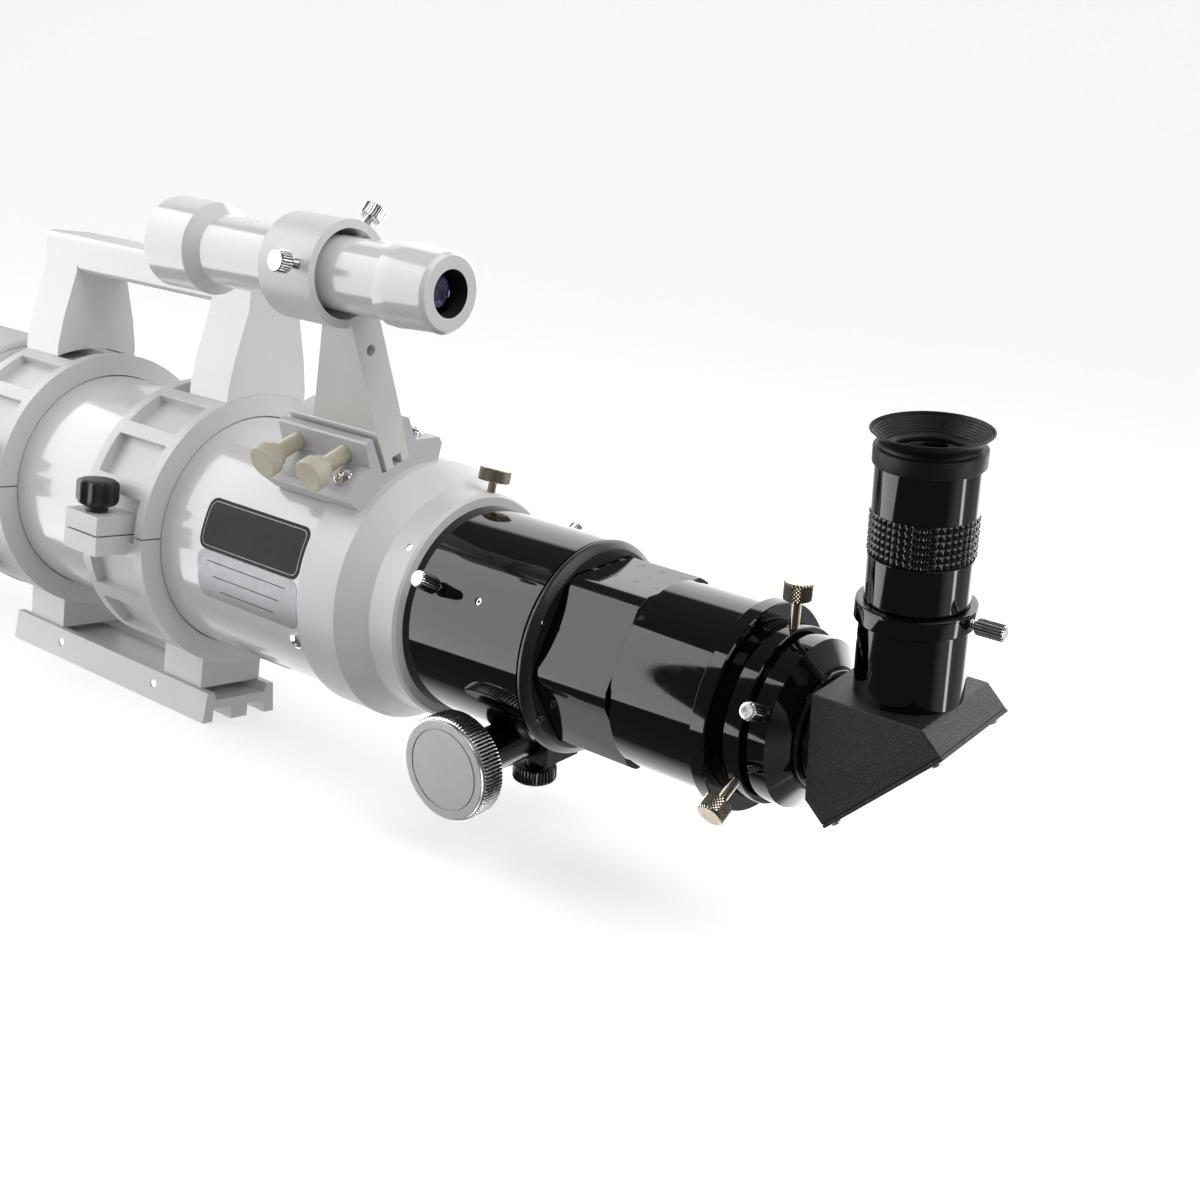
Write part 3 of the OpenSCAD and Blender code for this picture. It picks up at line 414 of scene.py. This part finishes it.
thumbscrew("cell_thumbscrew", "cell_thumbscrew_turn", 2, 42.4, 48.5, 53.5, 59.3, 7, "diamond", NICKEL, 30, NICKEL)
for side in ("top", "left", "right"):
    thumbscrew("receiver_thumbscrew_" + side, "receiver_thumbscrew_" + side + "_turn",
               1.9, 25.75, 33, 45, 52, 5.6, "diamond", NICKEL, 26, NICKEL)
for side in ("left", "right"):
    thumbscrew("body_thumbscrew_" + side, "body_thumbscrew_" + side + "_turn",
               1.8, 36.1, 43, 46, 57.5, 3.6, "straight", CHROME, 20, RIM)
    thumbscrew("finder_screw_" + side, "finder_screw_" + side + "_turn", 2, 14.85, 20, 26, 32, 4.5,
               "straight", CHROME, 24, RIM)
thumbscrew("adapter_thumbscrew", "adapter_thumbscrew_turn", 1.8, 16.225, 31, 34.8, 44, 3.45, "straight", CHROME, 20, RIM)
thumbscrew("holder_thumbscrew", "holder_thumbscrew_turn", 1.8, 16.225, 20.4, 22.5, 33, 2.9, "straight", CHROME, 15, CHROME)

pinion = pos_of["pinion_turn"]
for side, sign in (("left", -1), ("right", 1)):
    place = outwards(pinion, sign * axis_of["pinion_turn"])
    rows = plain((3.05, 41), (14.5, 41), (15, 41.5), (15, 44.9), (15, 45), (20.9, 45), (21.3, 45.1))
    rows += [(21.8, 45.5, 0.3, straight(90))]
    rows += fill(22.2, 46, 54.9, 9, 0.8, straight(90))
    rows += [(21.75, 55.45, 0.3, straight(90))]
    rows += plain((21.2, 55.6), (21.05, 55.8), (21.05, 56.4), (20.95, 56.75), (20.6, 57), (19.5, 57),
                  (17.45, 57), (17.35, 56.9), (17.3, 56.5), (16.95, 56.5), (16.85, 56.9), (16.75, 57),
                  (10, 57), (0, 57))
    mesh = turned(rows, 540, place, lambda r, z: 2 if z < 45.05 and r < 15.2 else (0 if z > 56.2 and r < 21 else 1), 3)
    add("focus_knob_" + side + ".fine", mesh, "focus_knob_" + side, [SILVER, RIM, BLACK_PLASTIC, GROOVE_SHADE], sharp=22)

lock = straight(36)
rows = plain((0, 53.6), (2.1, 53.6), (2.5, 54), (2.5, 57.5), (4.5, 58), (4.5, 60.5), (8.4, 60.9))
rows += [(9.0, 61.3, 0.2, lock)] + fill(9.5, 61.9, 66.9, 5, 0.55, lock) + [(9.0, 67.5, 0.2, lock)]
rows += plain((8.5, 67.9), (7.8, 68), (6.5, 67.7), (0, 67.7))
add("focus_lock_knob.fine", turned(rows, 144, outwards(pos_of["focus_lock_turn"], axis_of["focus_lock_turn"])),
    "focus_lock_knob", [HOUSING], sharp=25)

for end in ("front", "rear"):
    place = outwards(pos_of["shoe_knob_" + end + "_turn"], axis_of["shoe_knob_" + end + "_turn"])
    rows = plain((0, 6.7), (3.2, 6.7), (3.7, 7.3), (3.7, 12.9))
    rows += fill(3.8, 13.1, 25.2, 0.2, 0.55, thread(1.25))
    rows += plain((3.8, 25.4), (5.0, 25.7), (5.35, 26), (5.35, 28.7), (5.5, 28.95), (6.6, 29.05))
    rows += plain(*arc(6.7, 29.6, 0.5, -80, 0, 4))
    rows += plain(*arc(6.6, 34.2, 0.6, 0, 90, 5))
    rows += plain((6.0, 34.78), (5.2, 34.7), (0, 34.7))
    add("shoe_knob_" + end + ".fine", turned(rows, 96, place), "shoe_knob_" + end, [CREAM], sharp=28)

for end in ("front", "rear"):
    joint = "clamp_knob_" + end + "_turn"
    lobes = lambda t, z: 0.5 - 0.5 * math.cos(2 * math.pi * 8 * t)
    rows = plain((0, -9), (2.6, -9), (3, -8.6), (3, 9.3), (5, 9.3), (5, 11.2), (8.4, 12.8))
    rows += [(9.3, 13.8, 0.9, lobes)] + fill(9.6, 14.8, 21.6, 1.4, 1.3, lobes) + [(9.1, 22.9, 1.0, lobes)]
    rows += plain((7.6, 23.5), (6.4, 23.7), (0, 23.7))
    add("clamp_knob_" + end + ".fine", turned(rows, 160, outwards(pos_of[joint], axis_of[joint]), lambda r, z: 1 if r < 4 and z < 9 else 0),
        "clamp_knob_" + end, [BLACK_PLASTIC, STEEL], sharp=35)

# the eyepiece, in its own frame
eye = optical(DIAGONAL, (pos_of["holder_thumbscrew_turn"].x - CELL_X) / MM)
rows = plain((16.77, 76.42), (17.6, 76.42)) + fill(18.3, 76.45, 91.65, 15.2 / 24, 0.95, pyramids(48, 15.2 / 6, 76.45))
rows += plain((17.6, 91.68), (16.77, 91.68))
rows.append(rows[0])
add("grip_band.fine", turned(rows, 192, eye), "grip_band", [GRIP], sharp=20)

ridges = []
for i in range(7):
    r0, z0 = 19.4 - i * 0.75, 118.55 - i * 0.72
    ridges += [(r0, z0), (r0 - 0.2, z0 - 0.55), (r0 - 0.62, z0 - 0.6)]
rows = plain(*([(15.62, 107.75), (18.3, 107.75)] + arc(18.25, 108.1, 0.35, -90, 0, 3) + arc(18.2, 113.1, 0.4, 0, 80, 4)
               + [(16.9, 113.75), (16.75, 114.0), (16.7, 114.6), (17.1, 115.5), (18.2, 116.9), (19.3, 117.95)]
               + arc(19.85, 118.9, 0.35, -40, 120, 6) + ridges + [(13.9, 113.5), (12.6, 112.9), (12.4, 112.6), (12.4, 111.65), (15.62, 111.65)]))
rows.append(rows[0])
add("eyecup.fine", turned(rows, 160, eye), "eyecup", [RUBBER], sharp=38)


# ---- name plate and scale ----

def plate(name, x0, x1, a0, a1, corner, base, top, material, node=None):
    """A thin plate wrapped round the tube, from roll a0 to a1 in degrees, with rounded corners."""
    nx, ny = 48, 14
    r = base
    verts, faces = [], []
    s0, s1 = math.radians(a0) * r, math.radians(a1) * r
    for layer in (base, top):
        for i in range(nx + 1):
            u = i / nx
            x = x0 + (x1 - x0) * (0.5 - 0.5 * math.cos(math.pi * u))
            edge = min(x - x0, x1 - x)
            cut = corner - math.sqrt(max(0.0, corner ** 2 - (corner - edge) ** 2)) if edge < corner else 0
            for j in range(ny + 1):
                s = s0 + cut + (s1 - s0 - 2 * cut) * j / ny
                verts.append(optical(s / r, x) @ Vector((0, 0, layer)))
    row = ny + 1
    off = (nx + 1) * row
    for i in range(nx):
        for j in range(ny):
            a = i * row + j
            faces.append((a, a + 1, a + row + 1, a + row))
            faces.append((off + a, off + a + row, off + a + row + 1, off + a + 1))
    rim = ([i * row for i in range(nx + 1)] + [nx * row + j for j in range(1, row)]
           + [i * row + ny for i in range(nx - 1, -1, -1)] + [j for j in range(ny - 1, 0, -1)])
    for k, a in enumerate(rim):
        b = rim[(k + 1) % len(rim)]
        faces.append((a, b, off + b, off + a))
    mesh = bpy.data.meshes.new(name)
    mesh.from_pydata(verts, [], faces)
    bm = bmesh.new()
    bm.from_mesh(mesh)
    bmesh.ops.recalc_face_normals(bm, faces=bm.faces)
    bm.to_mesh(mesh)
    bm.free()
    return add(name, mesh, node, [material], body="tube", sharp=40)


plate("name_plate_lower", -117.5, -52.2, 86.9, 110.0, 4.5, 55.04, 55.16, LABEL_SILVER, "tube_label")
plate("name_plate_upper", -117.5, -52.2, 62.5, 86.7, 4.5, 55.04, 55.16, LABEL_BLACK)
plate("name_plate_line", -115.9, -53.8, 64.1, 85.1, 3.3, 55.16, 55.19, LABEL_SILVER)
plate("name_plate_field", -115.6, -54.1, 64.4, 84.8, 3.1, 55.19, 55.22, LABEL_BLACK)
for k, a in enumerate((91.5, 98.3, 105.0)):
    plate("name_plate_rule_%d" % k, -111 + 4 * k, -59.5 - 4 * k, a, a + 0.45, 0.15, 55.16, 55.18, LABEL_BLACK)


def merge(parts, name, place, body, material):
    verts, faces = [], []
    for vs, fs in parts:
        n = len(verts)
        verts += [place @ Vector(v) for v in vs]
        faces += [tuple(n + i for i in f) for f in fs]
    mesh = bpy.data.meshes.new(name)
    mesh.from_pydata(verts, [], faces)
    return add(name, mesh, None, [material], body=body, sharp=30)


def bar(x0, x1, y0, y1, z0, z1):
    vs = [(x, y, z) for z in (z0, z1) for x, y in ((x0, y0), (x1, y0), (x1, y1), (x0, y1))]
    return vs, [(3, 2, 1, 0), (4, 5, 6, 7), (0, 1, 5, 4), (1, 2, 6, 5), (2, 3, 7, 6), (3, 0, 4, 7)]


def digits(text, x, y, z, height):
    """Raised digits that read along +Y, their tops towards -X."""
    curve = bpy.data.curves.new("digits", "FONT")
    curve.body = text
    curve.size = height / 0.7
    curve.align_x = "CENTER"
    curve.extrude = 0.012
    curve.resolution_u = 4
    ob = bpy.data.objects.new("digits", curve)
    bpy.context.scene.collection.objects.link(ob)
    bpy.context.view_layer.update()
    mesh = bpy.data.meshes.new_from_object(ob.evaluated_get(bpy.context.evaluated_depsgraph_get()))
    vs = [(x - v.co.y, y + v.co.x, z + v.co.z) for v in mesh.vertices]
    fs = [tuple(p.vertices) for p in mesh.polygons]
    bpy.data.objects.remove(ob)
    bpy.data.curves.remove(curve)
    bpy.data.meshes.remove(mesh)
    return vs, fs


flat = 35.72
scale = []
for n in range(0, 105, 10):
    scale.append(bar(97.8 - n - 0.09, 97.8 - n + 0.09, 1.2, 3.8, flat, flat + 0.02))
for n in range(0, 110, 10):
    for y in (-6.0, 11.0):
        scale.append(digits(str(n), 98.9 - n, y, flat + 0.012, 2.3))
merge(scale, "drawtube_scale", optical(FOCUSER), "drawtube", PAINT)

# ---- the other CAD nodes, with rounded edges ----

finder_axis = (-(146 * MM) * math.sin(SHOE), AXIS_H + 146 * MM * math.cos(SHOE))
for node, material, width in (
        ("dovetail_bar", CAST, 0.4), ("ring_base_rear", CAST, 0.4), ("ring_base_front", CAST, 0.4),
        ("ring_cap_rear", CAST, 0.4), ("ring_cap_front", CAST, 0.4), ("carry_handle", WHITE, 1.0),
        ("ring_hinge_pins", STEEL, 0.3), ("base_bolts", STEEL, 0.2), ("tube_screws", CHROME, 0.08),
        ("finder_shoe", SHOE_SHADED_WHITE, 0.3), ("finder_bracket", BRACKET, 0.35), ("focuser_screws", STEEL, 0.08),
        ("guide_pads", PAD, 0.2), ("pinion_housing", HOUSING, 0.35), ("pinion_shaft", STEEL, 0.0),
        ("focus_rack", STEEL, 0.0), ("diagonal_housing", WRINKLE, 0.5), ("mirror_cover", WRINKLE, 0.25),
        ("cover_screws", STEEL, 0.06), ("diagonal_mirror", MIRROR, 0.2), ("lens_retainer", SATIN, 0.2),
        ("tube_baffles", INNER, 0.0), ("eyepiece_nose", CHROME, 0.2), ("focuser_end_ring", SATIN, 0.3),
        ("crown_lens", LENS, 0.0), ("flint_lens", LENS, 0.0), ("eyepiece_lenses", LENS, 0.0),
        ("finder_lenses", LENS, 0.0)):
    refine(node, material, width)
for node, material, width, within in (
        ("main_tube", WHITE, 0.3, 0.0545), ("rear_cell", CAST, 0.35, 0.0545), ("dew_shield", WHITE, 0.3, 0.0615),
        ("objective_cell", WHITE, 0.3, 0.0535), ("focuser_body", GLOSS, 0.3, 0.0425), ("drawtube", GLOSS, 0.3, 0.032),
        ("receiver", GLOSS, 0.3, 0.027), ("eyepiece_adapter", GLOSS, 0.3, 0.0165), ("diagonal_nose", SATIN, 0.15, 0.015)):
    refine(node, material, width, INNER, within=within)
refine("eyepiece_holder", BARREL, 0.25)
refine("eyepiece_body", BARREL, 0.2)
refine("finder_tube", WHITE, 0.3, INNER, finder_axis, 0.0172)

# ---- floor, light and camera ----

centre = Vector((CELL_X + 0.06, 0, AXIS_H))
tilt = Matrix.Rotation(PHOTO_LEAN, 3, "X")


def sweep():
    """A pale floor that rises into a wall far all round."""
    profile = [(0.0, 0.0), (1.2, 0.0), (2.2, 0.0)] + [(2.2 + 1.2 * math.sin(t), 1.2 - 1.2 * math.cos(t))
                                                     for t in [math.pi / 2 * i / 12 for i in range(1, 13)]] + [(3.4, 3.2)]
    floor_z = cad_box[0][2]
    place = Matrix.Translation((centre.x, centre.y, floor_z - 0.0002))
    mesh = turned([(r, z, 0, None) for r, z in profile], 96, place)
    ob = bpy.data.objects.new("stage_floor", mesh)
    bpy.context.scene.collection.objects.link(ob)
    for p in mesh.polygons:
        p.use_smooth = True
    s = Shader("pale_floor", (0.86, 0.86, 0.86), 0.7)
    s.vary_color(s.noise(3, 2), (0.85, 0.85, 0.85))
    s.set("Emission Color", (1, 1, 1, 1))
    s.set("Emission Strength", 0.55)
    mesh.materials.append(s.mat)
    ob.visible_glossy = False
    ob.visible_diffuse = False


sweep()


def panel(name, facing, up, right, away, offset, width, height, radiance, diffuse=True, glossy=True):
    """An area light, its directions given with the eyepiece upright, offset metres along right."""
    facing, up, right = (tilt @ Vector(v).normalized() for v in (facing, up, right))
    data = bpy.data.lights.new(name, "AREA")
    data.shape = "RECTANGLE"
    data.size, data.size_y = width, height
    data.energy = radiance * math.pi * width * height
    ob = bpy.data.objects.new(name, data)
    basis = Matrix((right, up, right.cross(up))).transposed().to_4x4()
    ob.matrix_world = Matrix.Translation(centre + facing * away + right * offset) @ basis
    ob.visible_camera = False
    ob.visible_diffuse = diffuse
    ob.visible_glossy = glossy
    bpy.context.scene.collection.objects.link(ob)
    return ob


left = ((-0.742, -0.602, 0.297), (0, 0.442, 0.897), (0.671, -0.666, 0.328), 1.6)
above = ((0.55, 0.2, 0.81), (-0.342, 0.94, 0), (0.762, 0.277, -0.585), 1.6)
panel("left_panel_shine", *left, -0.675, 2.35, 2.465, 3.5, diffuse=False)
panel("left_panel", *left, -0.4, 1.8, 2.465, 1.1, glossy=False)
panel("overhead_panel", *above, 0, 1.4, 1.6, 2.2)

world = bpy.data.worlds.new("studio")
bpy.context.scene.world = world
world.use_nodes = True
wt = world.node_tree
wt.nodes.clear()


def wnode(kind, **settings):
    n = wt.nodes.new(kind)
    for key, value in settings.items():
        setattr(n, key, value)
    return n


def wmath(op, a, b=None):
    n = wnode("ShaderNodeMath", operation=op)
    for i, v in enumerate((a, b)):
        if v is None:
            continue
        if isinstance(v, (int, float)):
            n.inputs[i].default_value = v
        else:
            wt.links.new(v, n.inputs[i])
    return n.outputs[0]


def wramp(value, stops, ease=False):
    """A grey ramp of stops (place, value)."""
    n = wnode("ShaderNodeValToRGB")
    ramp = n.color_ramp
    ramp.interpolation = "EASE" if ease else "LINEAR"
    while len(ramp.elements) < len(stops):
        ramp.elements.new(0.5)
    for element, (place, v) in zip(ramp.elements, stops):
        element.position = place
        element.color = (v, v, v, 1)
    wt.links.new(value, n.inputs["Fac"])
    return n.outputs["Color"]


turn = wnode("ShaderNodeVectorRotate", rotation_type="X_AXIS")
turn.inputs["Angle"].default_value = -PHOTO_LEAN
wt.links.new(wnode("ShaderNodeTexCoord").outputs["Generated"], turn.inputs["Vector"])
parts = wnode("ShaderNodeSeparateXYZ")
wt.links.new(turn.outputs["Vector"], parts.inputs["Vector"])
dx, dy, dz = parts.outputs


def unit(v):
    n = wnode("ShaderNodeMath", operation="MULTIPLY_ADD")
    wt.links.new(v, n.inputs[0])
    n.inputs[1].default_value = 0.5
    n.inputs[2].default_value = 0.5
    return n.outputs[0]


# what a mirror-like surface sees: a white sweep behind the object, dark above and in front
height = wramp(unit(dz), [(0.0, 0.5), (0.25, 0.85), (0.3, 1.0), (0.42, 0.75), (0.5, 0.75), (0.67, 0.9), (0.775, 1.0), (0.80, 0.012), (1.0, 0.012)])
high = wramp(unit(dz), [(0.3, 0.0), (0.45, 1.0)])
behind_high = wramp(unit(dy), [(0.46, 0.0), (0.56, 1.0)])
behind_low = wramp(unit(dy), [(0.36, 0.0), (0.5, 0.8), (0.6, 1.0)])
behind = wmath("ADD", wmath("MULTIPLY", behind_high, high),
               wmath("MULTIPLY", behind_low, wmath("SUBTRACT", 1.0, high)))
along = wramp(unit(dx), [(0.0, 0.12), (0.08, 0.2), (0.19, 0.85), (0.4, 1.0), (0.48, 1.6), (0.6, 1.6), (0.68, 0.2), (0.88, 0.14), (1.0, 0.4)])
back = wmath("MULTIPLY", wmath("MULTIPLY", wmath("MULTIPLY", height, behind), along), 2.6)
around = wmath("ARCTAN2", dy, dx)
strip = wramp(wmath("ADD", around, 0.17), [(0.42, 0.0), (0.46, 1.0), (0.54, 1.0), (0.58, 0.0)])
strip_high = wramp(unit(dz), [(0.1, 0.0), (0.2, 1.0), (0.6, 1.0), (0.66, 0.0)])
strip = wmath("MULTIPLY", wmath("MULTIPLY", strip, strip_high), 8.0)
mirror_like = wmath("ADD", wmath("ADD", back, strip), 0.12)
path = wnode("ShaderNodeLightPath")
ambient = 0.36
mix = wnode("ShaderNodeMix", data_type="FLOAT")
wt.links.new(path.outputs["Is Glossy Ray"], mix.inputs["Factor"])
mix.inputs["A"].default_value = ambient
wt.links.new(mirror_like, mix.inputs["B"])
seen = wnode("ShaderNodeMix", data_type="FLOAT")
wt.links.new(path.outputs["Is Camera Ray"], seen.inputs["Factor"])
wt.links.new(mix.outputs["Result"], seen.inputs["A"])
seen.inputs["B"].default_value = 1.0
background = wnode("ShaderNodeBackground")
background.inputs["Color"].default_value = (1, 1, 1, 1)
wt.links.new(seen.outputs["Result"], background.inputs["Strength"])
wt.links.new(background.outputs[0], wnode("ShaderNodeOutputWorld").inputs["Surface"])

azimuth, elevation, camera_roll = math.radians(40.79), math.radians(24.83), math.radians(-0.52)
back_dir = Vector((math.sin(azimuth) * math.cos(elevation), -math.cos(azimuth) * math.cos(elevation), math.sin(elevation)))
right = Vector((math.cos(azimuth), math.sin(azimuth), 0))
up = back_dir.cross(right)
right, up = (math.cos(camera_roll) * right + math.sin(camera_roll) * up,
             math.cos(camera_roll) * up - math.sin(camera_roll) * right)
camera = bpy.data.objects.new("camera", bpy.data.cameras.new("camera"))
eye_point = tilt @ Vector((0.44509, -0.46844, 0.27945)) + Vector((CELL_X, 0, AXIS_H))
camera.matrix_world = Matrix.Translation(eye_point) @ (tilt @ Matrix((right, up, back_dir)).transposed()).to_4x4()
camera.data.sensor_width = 36
camera.data.lens = 49.49
camera.data.shift_x = 0.0425
camera.data.shift_y = 0.0396
camera.data.clip_start = 0.02
bpy.context.scene.collection.objects.link(camera)
bpy.context.scene.camera = camera
bpy.context.scene.view_settings.view_transform = "Standard"
